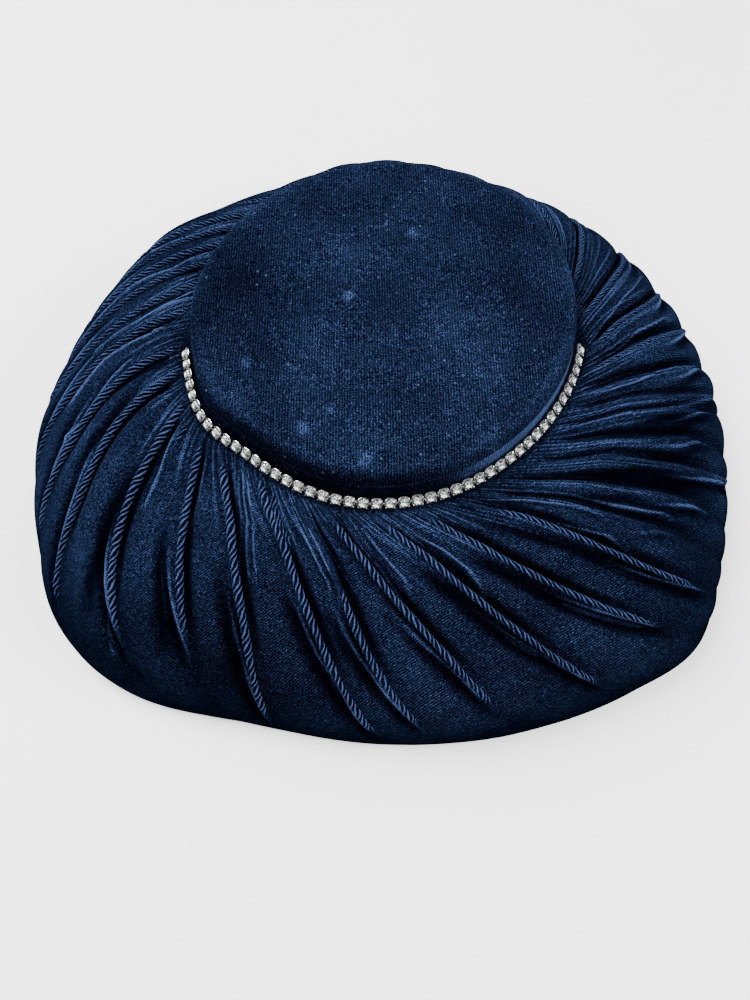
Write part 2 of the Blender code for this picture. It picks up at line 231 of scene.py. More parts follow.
def tuckPath(tuck):
    knots = (0.0, 0.2, 0.5, 1.0)
    angles = tuck[:4]
    rates = [(angles[k + 1] - angles[k]) / (knots[k + 1] - knots[k]) for k in range(3)]
    path = np.zeros_like(shareSteps)
    for k in range(3):
        gap = knots[k + 1] - knots[k]
        before, here, after = rates[max(k - 1, 0)], rates[k], rates[min(k + 1, 2)]
        slopeIn = 2.0 * before * here / (before + here) * gap
        slopeOut = 2.0 * here * after / (here + after) * gap
        inside = shareSteps >= knots[k]
        t = (shareSteps[inside] - knots[k]) / gap
        path[inside] = cubic(t, angles[k], slopeIn, angles[k + 1], slopeOut)
    return path


tuckPaths = [tuckPath(tuck) for tuck in tucks]
tuckPaths.append(tuckPaths[0] + 360.0)


def tuckAngle(i, share):
    return np.interp(share, shareSteps, tuckPaths[i])


def tuckStrength(i, share):
    end, proud = tucks[i % tuckCount][4:]
    return proud * smooth(share, 0.0, 0.03) * (1.0 - smooth(share, end - 0.10, end))


def meshObject(name, points, faces, material, values=None, soft=True):
    mesh = bpy.data.meshes.new(name)
    mesh.from_pydata(points.reshape(-1, 3).tolist(), [], faces)
    mesh.validate()
    if soft:
        mesh.shade_smooth()
    for key, value in (values or {}).items():
        mesh.attributes.new(key, "FLOAT", "POINT").data.foreach_set("value", value.ravel().astype(np.float32))
    mesh.materials.append(material)
    obj = bpy.data.objects.new(name, mesh)
    bpy.context.scene.collection.objects.link(obj)
    return obj


# faces of a grid of points; each row is a ring, or an open strip
def gridFaces(rows, columns, closed, start=0):
    index = np.arange(rows * columns).reshape(rows, columns) + start
    if closed:
        index = np.concatenate([index, index[:, :1]], axis=1)
    quads = np.stack((index[:-1, :-1], index[1:, :-1], index[1:, 1:], index[:-1, 1:]), axis=-1)
    return quads.reshape(-1, 4).tolist()


def keep(piece, node):
    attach(piece, "root")
    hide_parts(node)
    print(piece.name, "-", len(piece.data.polygons), "faces")


# materials

def newMaterial(name):
    material = bpy.data.materials.new(name)
    material.use_nodes = True
    tree = material.node_tree
    return material, tree, tree.nodes["Principled BSDF"]


def addNode(tree, kind, inputs=(), **settings):
    made = tree.nodes.new(kind)
    for key, value in settings.items():
        setattr(made, key, value)
    for key, value in dict(inputs).items():
        if hasattr(value, "is_output"):
            tree.links.new(value, made.inputs[key])
        else:
            made.inputs[key].default_value = value
    return made


def mathNode(tree, operation, first, second=0.0):
    return addNode(tree, "ShaderNodeMath", {0: first, 1: second}, operation=operation).outputs[0]


def mapRange(tree, value, low, high, newLow, newHigh):
    made = addNode(tree, "ShaderNodeMapRange", {"Value": value}, clamp=True)
    for key, number in zip(("From Min", "From Max", "To Min", "To Max"), (low, high, newLow, newHigh)):
        made.inputs[key].default_value = number
    return made.outputs["Result"]


def attributeNode(tree, name):
    return addNode(tree, "ShaderNodeAttribute", attribute_name=name).outputs["Fac"]


def noiseNode(tree, place, scale, detail, roughness):
    made = addNode(tree, "ShaderNodeTexNoise", {
        "Vector": place, "Scale": scale, "Detail": detail, "Roughness": roughness,
    })
    return made.outputs["Fac"]


def colourRamp(tree, value, stops):
    ramp = addNode(tree, "ShaderNodeValToRGB", {"Fac": value})
    while len(ramp.color_ramp.elements) < len(stops):
        ramp.color_ramp.elements.new(0.5)
    for element, (place, colour) in zip(ramp.color_ramp.elements, stops):
        element.position = place
        element.color = (*colour, 1.0)
    return ramp.outputs["Color"]


velvetLook = {
    "tones": (
        # how open the pile stands, with painted light and shade added to it, colour
        (0.00, (0.00014, 0.00026, 0.0009)),
        (0.20, (0.0006, 0.0011, 0.0036)),
        (0.45, (0.0025, 0.0044, 0.0126)),
        (0.72, (0.0084, 0.0145, 0.0380)),
        (1.00, (0.0300, 0.0490, 0.1150)),
    ),
    # cells to a metre, detail, roughness, lowest and highest value used, tone of each
    "blotches": (24.0, 5.0, 0.62, 0.30, 0.72, -0.11, 0.11),
    "pile": (2100.0, 1.0, 0.60, 0.28, 0.72, -0.46, 0.46),
    "clumps": (640.0, 2.0, 0.65, 0.30, 0.72, -0.13, 0.14),
    # metres from one to the next, distortion, scale of its detail, tone, degrees turned, height
    "rows": (0.00115, 1.6, 1.5, 0.14, 0.0, 0.5),
    "ribs": (0.00090, 0.9, 1.2, 0.18, 62.0, 0.0),
    "strokeSharpness": 4.0,
    "strokeTone": 1.30,
    "stitchGapShade": 0.42,                    # painted shade: how much darker it is between two stitches
    "lintSize": 260.0,
    "lintReach": (0.05, 0.20),            # shares of a cell where a speck is full and where it ends
    "lintChosen": (0.70, 0.95, 0.9),      # which cells have a speck, and how strong it is at most
    "lintColour": (0.030, 0.050, 0.090, 1.0),
    "sheen": (0.20, 0.36, 0.80, 1.0),
    "sheenWeight": 0.004,
    "sheenRoughness": 0.45,
    "roughness": 0.9,
    "shine": 0.0,
    "bumpStrength": 0.5,
    "bumpHeight": 0.0005,
}
bandScale = 0.314                         # a wave texture of this scale has bands a metre apart


# weaving is the rows of the pile on the crown, or the slanting ribs of the puffs
def velvetMaterial(name, weaving=None, lint=False, grain=1.0, stitched=False):
    look = velvetLook
    material, tree, shader = newMaterial(name)
    place = addNode(tree, "ShaderNodeTexCoord").outputs["Object"]
    light = attributeNode(tree, "crest")
    cells = {}
    for key, strength in (("blotches", 1.0), ("pile", grain), ("clumps", grain)):
        size, detail, roughness, low, high, dark, bright = look[key]
        cells[key] = noiseNode(tree, place, size, detail, roughness)
        tone = mapRange(tree, cells[key], low, high, dark * strength, bright * strength)
        light = mathNode(tree, "ADD", light, tone)
    height = cells["pile"]
    if weaving:
        pitch, distortion, detailScale, strength, turn, proud = look[weaving]
        turned = addNode(tree, "ShaderNodeMapping", {
            "Vector": place, "Rotation": (0.0, 0.0, math.radians(turn)),
        })
        wave = addNode(tree, "ShaderNodeTexWave", {
            "Vector": turned.outputs["Vector"], "Scale": bandScale / pitch, "Distortion": distortion,
            "Detail": 2.0, "Detail Scale": detailScale,
        }, bands_direction="X").outputs["Fac"]
        weave = attributeNode(tree, "weave")
        tone = mathNode(tree, "MULTIPLY", mapRange(tree, wave, 0.0, 1.0, -strength, strength), weave)
        light = mathNode(tree, "ADD", light, tone)
        wave = mathNode(tree, "MULTIPLY", wave, weave)
        height = mathNode(tree, "ADD", height, mathNode(tree, "MULTIPLY", wave, proud))
    if stitched:
        # twist counts the stitches along a tuck, so each one is a narrow stroke of open pile with a painted
        # highlight, and painted shade lies between two
        twist = mathNode(tree, "MULTIPLY", attributeNode(tree, "twist"), math.pi)
        stroke = mathNode(tree, "ABSOLUTE", mathNode(tree, "SINE", twist))
        stroke = mathNode(tree, "POWER", stroke, look["strokeSharpness"])
        stroke = mathNode(tree, "MULTIPLY", stroke, look["strokeTone"])
        stroke = mathNode(tree, "SUBTRACT", stroke, look["stitchGapShade"])
        stroke = mathNode(tree, "MULTIPLY", stroke, attributeNode(tree, "stitch"))
        light = mathNode(tree, "ADD", light, stroke)
    colour = colourRamp(tree, light, look["tones"])
    if lint:
        specks = addNode(tree, "ShaderNodeTexVoronoi", {
            "Vector": place, "Scale": look["lintSize"], "Randomness": 1.0,
        })
        speck = mapRange(tree, specks.outputs["Distance"], *look["lintReach"], 1.0, 0.0)
        chosen = addNode(tree, "ShaderNodeSeparateColor", {"Color": specks.outputs["Color"]}).outputs["Red"]
        low, high, most = look["lintChosen"]
        speck = mathNode(tree, "MULTIPLY", speck, mapRange(tree, chosen, low, high, 0.0, most))
        colour = addNode(tree, "ShaderNodeMix", {
            "Factor": speck, "A": colour, "B": look["lintColour"],
        }, data_type="RGBA").outputs["Result"]
    tree.links.new(colour, shader.inputs["Base Color"])
    bump = addNode(tree, "ShaderNodeBump", {
        "Height": height, "Strength": look["bumpStrength"], "Distance": look["bumpHeight"],
    })
    tree.links.new(bump.outputs["Normal"], shader.inputs["Normal"])
    shader.inputs["Roughness"].default_value = look["roughness"]
    shader.inputs["Specular IOR Level"].default_value = look["shine"]
    shader.inputs["Sheen Weight"].default_value = look["sheenWeight"]
    shader.inputs["Sheen Roughness"].default_value = look["sheenRoughness"]
    shader.inputs["Sheen Tint"].default_value = look["sheen"]
    return material


brimVelvet = velvetMaterial("brimVelvet", weaving="ribs")
tuckVelvet = velvetMaterial("tuckVelvet", grain=0.8, stitched=True)
crownVelvet = velvetMaterial("crownVelvet", weaving="rows", lint=True)
insideVelvet = velvetMaterial("insideVelvet", grain=0.8)


def settingMaterial():
    material, tree, shader = newMaterial("silverSetting")
    place = addNode(tree, "ShaderNodeTexCoord").outputs["Object"]
    wear = noiseNode(tree, place, 420.0, 3.0, 0.5)
    tone = colourRamp(tree, wear, ((0.30, (0.10, 0.10, 0.10)), (0.62, (0.45, 0.45, 0.44))))
    tree.links.new(tone, shader.inputs["Base Color"])
    tree.links.new(mapRange(tree, wear, 0.3, 0.7, 0.34, 0.16), shader.inputs["Roughness"])
    shader.inputs["Metallic"].default_value = 1.0
    return material


def stoneMaterial():
    material, tree, shader = newMaterial("clearStone")
    place = addNode(tree, "ShaderNodeTexCoord").outputs["Object"]
    # each facet's tone is a painted reflection
    facet = attributeNode(tree, "facet")
    cloud = mapRange(tree, noiseNode(tree, place, 700.0, 2.0, 0.6), 0.3, 0.7, -0.12, 0.12)
    tone = colourRamp(tree, mathNode(tree, "ADD", facet, cloud), (
        (0.0, (0.004, 0.005, 0.005)), (0.35, (0.040, 0.046, 0.042)), (0.65, (0.20, 0.22, 0.205)),
        (1.0, (0.94, 0.96, 0.94)),
    ))
    tree.links.new(tone, shader.inputs["Base Color"])
    shader.inputs["Metallic"].default_value = 0.25
    shader.inputs["Roughness"].default_value = 0.08
    shader.inputs["IOR"].default_value = 1.6
    shader.inputs["Coat Weight"].default_value = 0.3
    shader.inputs["Coat Roughness"].default_value = 0.02
    return material


# the brim's velvet: puffs between the tucks, valleys beside them, gathers and folds

brim = {
    "columnsPerDegree": 2.1,   # of each pair of columns beside the chain
    "middle": 0.62,            # share where half the columns stop
    "innerRows": 42,
    "outerRows": 29,
    "puff": 0.0026,
    "ridge": 0.0010,           # the velvet under a tuck
    "ridgeHalf": 0.0017,
    "fullWidth": 0.014,        # between two tucks, where the puff is full
    "innerValley": 0.0020,     # on the right of a tuck, in its first half
    "innerValleyAway": 0.0036,
    "innerValleyHalf": 0.0021,
    "outerValley": 0.0014,     # on its left, in its second half
    "outerValleyAway": (0.0085, 0.0045),  # from the tuck, and how much nearer it comes by the tuck's end
    "outerValleyHalf": 0.0028,
    "foldEdge": 0.0010,        # between that valley and the tuck
    "foldEdgeAway": 0.0034,
    "foldEdgeHalf": 0.0010,
    "gather": 0.00060,
    "gatherWidth": 0.0024,
    "fold": 0.0008,            # height of a fold seen in the photo
    "foldHalf": 0.0008,
    "valley": 0.0016,
    "unevenness": 0.0005,
    "tone": 0.27,              # how open the pile stands, with a painted highlight on a puff or ridge and painted shade in a valley that change it
    "puffTone": 0.16,
    "ridgeHighlight": 0.62,
    "valleyShade": 0.34,
    # painted shade on the seat under the crown and on the turned edge below
    "seatShade": 0.2,
    "hemShade": 0.1,
}
puffRows = [
    # share, how much of the puff
    (0.00, 0.00), (0.04, 0.30), (0.10, 0.60), (0.18, 0.85), (0.28, 1.00), (0.53, 0.95), (0.67, 0.80),
    (0.81, 0.50), (0.92, 0.20), (1.00, 0.00),
]
gatherReach = [
    # angle, shortest and longest reach of the gathers there
    (-180, 0.15, 0.34), (-110, 0.16, 0.36), (-60, 0.14, 0.30), (-30, 0.12, 0.34), (10, 0.12, 0.32),
    (30, 0.28, 0.60), (60, 0.32, 0.70), (100, 0.30, 0.62), (135, 0.18, 0.40), (180, 0.15, 0.34),
]
folds = [
    # half width and height as shares of the sizes above, then the angle and share of each point
    (0.9, 1.1, (-15, 0.36), (-7, 0.60), (-2.5, 0.81)),
    (0.6, 0.9, (-24, 0.03), (-16, 0.15), (-10, 0.27)),
    (0.6, 1.1, (-21.5, 0.03), (-14, 0.15), (-8, 0.28)),
    (0.6, 0.8, (-19, 0.03), (-12, 0.15), (-6, 0.26)),
    (0.8, 1.0, (-48, 0.06), (-43, 0.15), (-40, 0.22)),
    (0.6, 0.9, (-38, 0.03), (-30, 0.15), (-25, 0.30)),
    (0.6, 0.8, (-36.5, 0.03), (-28.5, 0.15), (-24, 0.28)),
    (0.6, 0.7, (-39.5, 0.03), (-31.5, 0.15), (-27, 0.30)),
    (0.9, 1.1, (-9, 0.06), (-0.5, 0.21), (3, 0.30)),
    (0.7, 1.0, (-5, 0.07), (4, 0.24)),
    (0.8, 1.1, (7, 0.10), (12, 0.16), (16, 0.235), (17.5, 0.31)),
    (0.9, 1.0, (-47, 0.48), (-44, 0.55), (-42, 0.63), (-40, 0.70)),
    (0.9, 0.8, (-40, 0.36), (-35, 0.49)),
    (1.0, 1.3, (-93, 0.08), (-88, 0.14), (-86, 0.22), (-84, 0.29), (-81, 0.35), (-78, 0.42)),
    (1.0, 1.2, (-82, 0.19), (-79, 0.26), (-76, 0.32), (-73, 0.38), (-72, 0.46)),
    (0.9, 1.0, (-60, 0.05), (-52, 0.18), (-49, 0.26)),
    (0.9, 1.0, (-104, 0.02), (-96, 0.14), (-88, 0.35)),
    (0.9, 1.0, (-121, 0.03), (-110, 0.19), (-102, 0.44)),
    (0.9, 1.0, (-133, 0.06), (-124, 0.21), (-117, 0.40)),
    (0.8, 1.0, (46, 0.25), (49, 0.305), (53, 0.40)),
    (0.9, 1.1, (36, 0.21), (39, 0.26), (42, 0.31), (43.5, 0.38)),
    (0.8, 0.9, (24, 0.04), (34, 0.12), (41, 0.20), (44, 0.26)),
    (0.7, 0.8, (53, 0.03), (60, 0.10), (67, 0.20)),
    (0.7, 0.9, (67, 0.06), (80, 0.29), (84, 0.40)),
    (0.7, 0.9, (77, 0.04), (88, 0.22), (95, 0.40)),
    (0.7, 0.9, (85, 0.04), (98, 0.22), (106, 0.40)),
]
valleys = [
    # half width in metres, depth as a share, then the angle and share of each point
    (0.0026, 1.1, (-30, 0.30), (-23, 0.50), (-21, 0.62)),
    (0.0026, 1.2, (-19, 0.30), (-14, 0.40), (-10, 0.50), (-6, 0.68)),
    (0.0026, 1.0, (-7, 0.34), (-1, 0.60)),
    (0.0034, 1.1, (-3, 0.20), (2, 0.31), (7, 0.42), (12, 0.62)),
    (0.0038, 1.3, (5, 0.17), (14, 0.33), (23, 0.54), (27, 0.62)),
    (0.0038, 1.3, (16, 0.17), (26, 0.34), (40, 0.64)),
    (0.0034, 1.2, (21, 0.09), (34, 0.26), (43, 0.43), (48, 0.58)),
    (0.0036, 1.4, (45, 0.11), (56, 0.28), (63, 0.50)),
    (0.0028, 1.0, (63, 0.20), (70, 0.33), (75, 0.47)),
    (0.0022, 0.9, (52, 0.14), (59, 0.28), (66, 0.44)),
    (0.0022, 0.9, (38, 0.12), (49, 0.27), (55, 0.42)),
    (0.0030, 1.0, (-57, 0.22), (-51, 0.40), (-46, 0.62)),
    (0.0026, 0.9, (-44, 0.26), (-37, 0.44), (-33, 0.60)),
    (0.0026, 1.0, (-89, 0.20), (-85, 0.34), (-81, 0.44)),
    (0.0026, 1.0, (-74, 0.16), (-69, 0.28), (-65, 0.42)),
    (0.0030, 1.0, (-12, 0.07), (-3, 0.20)),
]
patches = [
    # angle, share, how wide in degrees and share, tone; light and dark clouds of pile direction, lighter on the
    # left, and painted shade along the edge in front and at the sides
    (-64, 0.46, 11, 0.16, 0.10), (-80, 0.50, 10, 0.20, 0.06), (-100, 0.30, 16, 0.20, 0.05),
    (-33, 0.60, 10, 0.14, -0.10), (-22, 0.66, 9, 0.14, -0.12), (-44, 0.74, 16, 0.12, -0.08),
    (0, 1.00, 60, 0.14, -0.22), (60, 1.00, 40, 0.14, -0.16), (-70, 1.00, 40, 0.12, -0.08),
    (4, 0.50, 5, 0.14, 0.05), (17, 0.60, 6, 0.12, 0.04), (50, 0.62, 10, 0.14, -0.05),
    (30, 0.46, 5, 0.10, 0.04), (90, 0.34, 16, 0.16, 0.03), (0, 1.00, 62, 0.10, -0.10),
    (-52, 0.86, 22, 0.10, -0.06), (56, 0.86, 24, 0.10, -0.06),
]
dice = random.Random(7)


# the angle of a fold or valley at each share, and its strength, which fades in and out past its ends
def pointsPath(points, share, fade):
    angle, at = zip(*points)
    begin, end = at[0] - 0.03, at[-1] + 0.06
    strength = smooth(share, begin, begin + fade) * (1.0 - smooth(share, end - fade, end))
    return np.interp(share, at, angle), strength


def gatherPaths():
    made = []
    reachLow = closedCurve([(row[0], row[1]) for row in gatherReach[:-1]])
    reachHigh = closedCurve([(row[0], row[2]) for row in gatherReach[:-1]])
    for i in range(tuckCount):
        start, after = tuckPaths[i][0], tuckPaths[i + 1][0]
        width = math.radians(after - start) * float(seatRadius(start))
        count = max(round(width / brim["gatherWidth"]), 2)
        for j in range(count):
            u = (j + 0.5 + dice.uniform(-0.28, 0.28)) / count
            angle = start + (after - start) * u
            made.append({
                "gap": i,
                "u": u,
                "pull": dice.uniform(0.15, 0.55),
                "reach": dice.uniform(float(reachLow(angle)), float(reachHigh(angle))),
                "height": brim["gather"] * dice.uniform(0.6, 1.25),
                "half": dice.uniform(0.00042, 0.00062),
            })
    return made


gathers = gatherPaths()
puffSizes = np.array([dice.uniform(0.85, 1.15) for _ in range(tuckCount)])


# the lift of the velvet off the smooth form, and how open its pile stands with painted highlights and painted
# shade added, over rows of shares
def brimRelief(gap, u, share):
    angles = np.array([tuckAngle(i, share) for i in range(tuckCount + 1)])[..., 0]
    strengths = np.array([tuckStrength(i, share) for i in range(tuckCount + 1)])[..., 0]
    ends = np.array([tucks[i % tuckCount][4] for i in range(tuckCount + 1)])
    start, after = angles[gap].T, angles[gap + 1].T
    angle = start + (after - start) * u
    radius = domeRadius(angle, share)
    width = np.radians(after - start) * radius
    left, right = u * width, (1.0 - u) * width
    room = np.clip(width / brim["fullWidth"], 0.25, 1.0)
    puff = np.interp(share, *zip(*puffRows)) * puffSizes[gap]
    swell = brim["puff"] * puff * room * np.sin(math.pi * u) ** 0.8
    swell += brim["ridge"] * strengths[gap].T * bell(left, brim["ridgeHalf"])
    swell += brim["ridge"] * strengths[gap + 1].T * bell(right, brim["ridgeHalf"])
    inner = smooth(share, 0.02, 0.09) * (1.0 - smooth(share, 0.34, 0.62))
    valley = brim["innerValley"] * inner * room * bell(left - brim["innerValleyAway"], brim["innerValleyHalf"])
    end = ends[gap + 1]
    outer = smooth(share, 0.28, 0.5) * (1.0 - smooth(share, end - 0.08, end + 0.08))
    away, nearer = brim["outerValleyAway"]
    apart = right - (away - nearer * smooth(share, 0.35, end))
    valley = valley + brim["outerValley"] * outer * room * bell(apart, brim["outerValleyHalf"])
    ridge = brim["foldEdge"] * outer * room * bell(apart + brim["foldEdgeAway"], brim["foldEdgeHalf"])

    metres = np.radians(1.0) * radius
    for row in valleys:
        path, strength = pointsPath(row[2:], share, 0.16)
        valley = valley + brim["valley"] * row[1] * strength * bell(degreesApart(angle, path) * metres, row[0])
    for row in folds:
        path, strength = pointsPath(row[2:], share, 0.07)
        apart = degreesApart(angle, path) * metres
        half = brim["foldHalf"] * row[0]
        ridge = ridge + brim["fold"] * row[1] * strength * bell(apart, half)
        valley = valley + 0.5 * brim["fold"] * row[1] * strength * bell(apart + 2.4 * half, 1.5 * half)
    for one in gathers:
        i = one["gap"]
        merge = one["pull"] * smooth(share, 0.0, one["reach"])
        across = one["u"] + (round(one["u"]) - one["u"]) * merge
        path = angles[i][:, None] + (angles[i + 1] - angles[i])[:, None] * across
        strength = smooth(share, -0.01, 0.012) * (1.0 - smooth(share, one["reach"] * 0.35, one["reach"]))
        half = one["half"] * (1.0 + 0.9 * smooth(share, 0.0, one["reach"]))    # it widens on its way out
        ridge = ridge + one["height"] * strength * bell(degreesApart(angle, path) * metres, half)

    tone = np.zeros_like(angle)
    # clouds of pile direction, and painted shade along the edge
    for middle, at, degrees, shares, amount in patches:
        tone += amount * bell(degreesApart(angle, middle), degrees) * bell(share - at, shares)
    # painted highlight on puffs, ridges and folds, and painted shade in valleys, over how open the pile stands
    level = (swell - valley) / brim["puff"]
    crest = brim["tone"] + tone + brim["puffTone"] * np.clip(level - 0.45, -1.2, 0.8)
    crest += brim["ridgeHighlight"] * np.clip(ridge / brim["fold"], 0.0, 1.2)
    crest -= brim["valleyShade"] * np.clip(valley / brim["valley"], 0.0, 1.2)
    return angle, swell + ridge - valley, crest


def raised(angle, share, swell):
    wide = np.broadcast_to(share, angle.shape)
    base = domePoint(angle, wide)
    rough = np.array([noise.noise(Vector(p) * 34.0) for p in base.reshape(-1, 3)]).reshape(angle.shape)
    swell = swell + brim["unevenness"] * rough * smooth(wide, 0.02, 0.2) * (1.0 - smooth(wide, 0.9, 1.0))
    points = base + domeNormal(angle, wide) * swell[..., None]
    points[..., 2] = np.maximum(points[..., 2], hat["edgeRounding"])
    return points


def makeBrim():
    gap, u = [], []
    for i in range(tuckCount):
        span = tuckAngle(i + 1, 0.2) - tuckAngle(i, 0.2)
        count = 2 * round(span * brim["columnsPerDegree"])
        gap += [i] * count
        u += [k / count for k in range(count)]
    gap, u = np.array(gap), np.array(u)
    innerShare = brim["middle"] * (np.linspace(0.0, 1.0, brim["innerRows"]) ** 1.2)[:, None]
    outerShare = np.linspace(brim["middle"], 1.0, brim["outerRows"])[1:, None]
    angle, swell, innerCrest = brimRelief(gap, u, innerShare)
    inner = raised(angle, innerShare, swell)
    first = angle[0]
    angle, swell, outerCrest = brimRelief(gap[::2], u[::2], outerShare)
    outer = raised(angle, outerShare, swell)
    last = angle[-1]

    # the flat seat under the crown, and the turned edge
    seat = np.array([
        around(headRadius * (1.0 + roundness(first)), first, brimDrop - hat["brimWall"]),
        around(headRadius * (1.0 + roundness(first)), first, brimDrop),
        around((headRadius * (1.0 + roundness(first)) + seatRadius(first)) / 2, first, brimDrop),
    ])
    edge = np.hypot(outer[-1, :, 0] - axisX, outer[-1, :, 1] - axisY)
    under = np.array([
        around(edge - back, last, height)
        for back, height in (
            (0.0004, 0.0004), (hat["edgeRounding"], 0.0), (0.0022, 0.0), (0.0028, 0.0004),
            (hat["edgeWall"], 0.0012), (hat["edgeWall"], hat["edgeTurn"]),
        )
    ])
    inner = np.concatenate([seat, inner])
    outer = np.concatenate([outer, under])
    # painted shade on the seat under the crown and on the turned edge
    innerCrest = np.concatenate([np.full((len(seat), len(first)), brim["seatShade"]), innerCrest])
    outerCrest = np.concatenate([outerCrest, np.full((len(under), len(last)), brim["hemShade"])])

    # halfway out every second column stops, and five-sided faces join the two grids
    rows, columns = inner.shape[:2]
    half = columns // 2
    faces = gridFaces(rows, columns, True) + gridFaces(len(outer), half, True, rows * columns)
    joint, below = (rows - 1) * columns, rows * columns
    for k in range(half):
        n = (k + 1) % half
        faces.append((joint + 2 * k, below + k, below + n, joint + 2 * n, joint + 2 * k + 1))
    points = np.concatenate([inner.reshape(-1, 3), outer.reshape(-1, 3)])
    crest = np.concatenate([innerCrest.ravel(), outerCrest.ravel()])
    # the slanting weave only shows on the upper side, in front
    front = 1.0 - smooth(np.abs(degreesApart(first, 0.0)), 105.0, 140.0)
    shown = front[::2] * (1.0 - smooth(outerShare, 0.64, 0.86))
    weave = np.concatenate([np.tile(front, rows), shown.ravel(), np.zeros(len(under) * half)])
    return meshObject("brimVelvet", points, faces, brimVelvet, {"crest": crest, "weave": weave})


keep(makeBrim(), "brim")


def makeUnderside():
    angle = np.arange(0.0, 360.0, 1.0)[None, :]
    fold = (hat["edgeTurn"] + hat["brimWall"]) / (brimDrop - hat["brimWall"])
    low = math.acos(fold ** (hat["fullness"] / 2))
    share = np.linspace(low / (math.pi / 2), 0.0, 34)[:, None]
    dome = domePoint(angle, share, hat["brimWall"])
    hem = around(edgeRadius(angle) - hat["edgeWall"], angle, hat["edgeTurn"] * 0.7)
    lip = around(headRadius * (1.0 + roundness(angle)), angle, brimDrop - hat["brimWall"])
    grid = np.concatenate([hem, dome, lip])
    faces = gridFaces(*grid.shape[:2], True)
    return meshObject("brimUnderside", grid, faces, insideVelvet, {"crest": np.full(grid.shape[:2], 0.3)})


keep(makeUnderside(), "brim")

# the stitched tucks: each is a ridge that slanting stitches have drawn into a cord

tuckCord = {
    "radius": 0.00165,
    "slender": ((-30, 40, 150, 200), (1.0, 0.72, 0.78, 1.0)),  # angle, share of the radius kept there
    "lift": 0.0006,            # height of the cord's middle above the smooth form
    "sink": 0.0016,            # how far it goes down into the velvet where it fades out
    "pitch": (0.0029, 0.0034), # from stitch to stitch, by the chain and at the end
    "slant": (1.9, 2.6),       # stitches passed in half a turn round the cord, in front and elsewhere
    "lobe": 0.34,              # how deep a stitch draws in the cord, as a share of its radius
    "step": 0.00042,
    "sides": 9,
    "halfTurn": 105.0,         # degrees that the strip goes round the cord, each way from its top
    "start": 0.012,            # share where a tuck leaves the chain
    "tone": 0.34,
    "unsewnShading": 0.20,         # painted highlight on the top and painted shade on the sides, where nothing is stitched
    "sewnTone": 0.10,
    "knot": 0.9,               # how much thicker a tuck is where its thread is tied off
}
knottedTucks = (21, 24, 25, 26, 27, 28, 29)
stitching = {
    # tuck: share where the stitches begin, where they end, and how strongly they show
    10: (0.02, 0.61, 1.0), 11: (0.05, 0.53, 0.9), 12: (0.06, 0.80, 1.0), 13: (0.03, 0.82, 1.0),
    14: (0.28, 0.76, 1.0), 15: (0.07, 0.68, 1.0), 16: (0.07, 0.73, 1.0), 17: (0.06, 0.62, 1.0),
    18: (0.10, 0.61, 1.0), 19: (0.05, 0.30, 0.2), 20: (0.05, 0.40, 0.2), 21: (0.58, 0.74, 0.8),
    22: (0.05, 0.45, 0.1), 23: (0.05, 0.45, 0.2), 24: (0.50, 0.64, 0.8), 25: (0.38, 0.54, 0.8),
    26: (0.05, 0.62, 0.9), 27: (0.05, 0.56, 0.9), 28: (0.03, 0.56, 1.0), 29: (0.03, 0.56, 1.0),
}
shortTucks = [
    # angle and share of each point
    ((-29, 0.03), (-24, 0.115), (-20.5, 0.16), (-17, 0.20)),
    ((-70, 0.04), (-67, 0.11), (-64.5, 0.14), (-61, 0.17)),
    ((-59, 0.03), (-55.5, 0.10), (-53, 0.145)),
]


def cordStrip(angleAt, strengthAt, begin, end, stitches, slant, phaseStart, knot=0.0):
    turns = np.radians(np.linspace(-tuckCord["halfTurn"], tuckCord["halfTurn"], tuckCord["sides"]))[None, :]
    share = np.linspace(begin, end, 240)
    path = domePoint(angleAt(share), share) + domeNormal(angleAt(share), share) * tuckCord["lift"]
    along = np.concatenate([[0.0], np.cumsum(np.linalg.norm(np.diff(path, axis=0), axis=1))])
    at = np.arange(0.0, along[-1], tuckCord["step"])
    read = np.interp(at, along, share)
    angle = angleAt(read)
    normal = domeNormal(angle, read)
    strength = strengthAt(read)
    path = domePoint(angle, read) + normal * (tuckCord["lift"] - (1.0 - strength)[:, None] * tuckCord["sink"])
    forward = unit(np.gradient(path, axis=0))
    side = unit(np.cross(normal, forward))
    near, far = tuckCord["pitch"]
    phase = np.cumsum(tuckCord["step"] / (near + (far - near) * read)) + phaseStart
    first, last, amount = stitches
    sewn = amount * smooth(read, first - 0.02, first + 0.03) * (1.0 - smooth(read, last - 0.03, last + 0.02))
    # no two stitches are quite alike
    uneven = 0.16 * np.sin(at * 900.0 + phaseStart * 9.0) + 0.12 * np.sin(at * 330.0 + phaseStart * 5.0)
    turn = (phase + uneven)[:, None] + turns / math.pi * slant
    lobe = np.abs(np.sin(math.pi * turn)) ** 0.75
    wobble = 1.0 + 0.10 * np.sin(at * 260.0 + phaseStart)[:, None]
    size = tuckCord["radius"] * (0.55 + 0.45 * strength[:, None]) * wobble
    size = size * (1.0 + knot * bell(read - last + 0.015, 0.014))[:, None]
    size = size * np.interp(angle, *tuckCord["slender"])[:, None]
    depth = tuckCord["lobe"] * sewn[:, None]
    radius = size * (1.0 - depth + depth * 1.25 * lobe)
    grid = path[:, None, :] + radius[..., None] * (
        np.cos(turns)[..., None] * normal[:, None, :] + np.sin(turns)[..., None] * side[:, None, :]
    )
    # painted highlight on the cord's top and painted shade on its sides
    plain = tuckCord["unsewnShading"] * (1.0 - sewn[:, None]) * (np.cos(turns) - 0.35)
    crest = tuckCord["tone"] + plain + tuckCord["sewnTone"] * sewn[:, None]
    crest = crest * (0.5 + 0.5 * strength[:, None])
    # painted highlight on each stroke, brightest at its head, on the right
    glint = 0.9 + 0.2 * np.sin(at * 1370.0 + phaseStart * 3.0)
    stitch = (sewn * glint * np.clip(strength, 0.0, 1.0))[:, None] * (0.85 + 0.30 * np.sin(turns))
    return grid, crest, turn, stitch


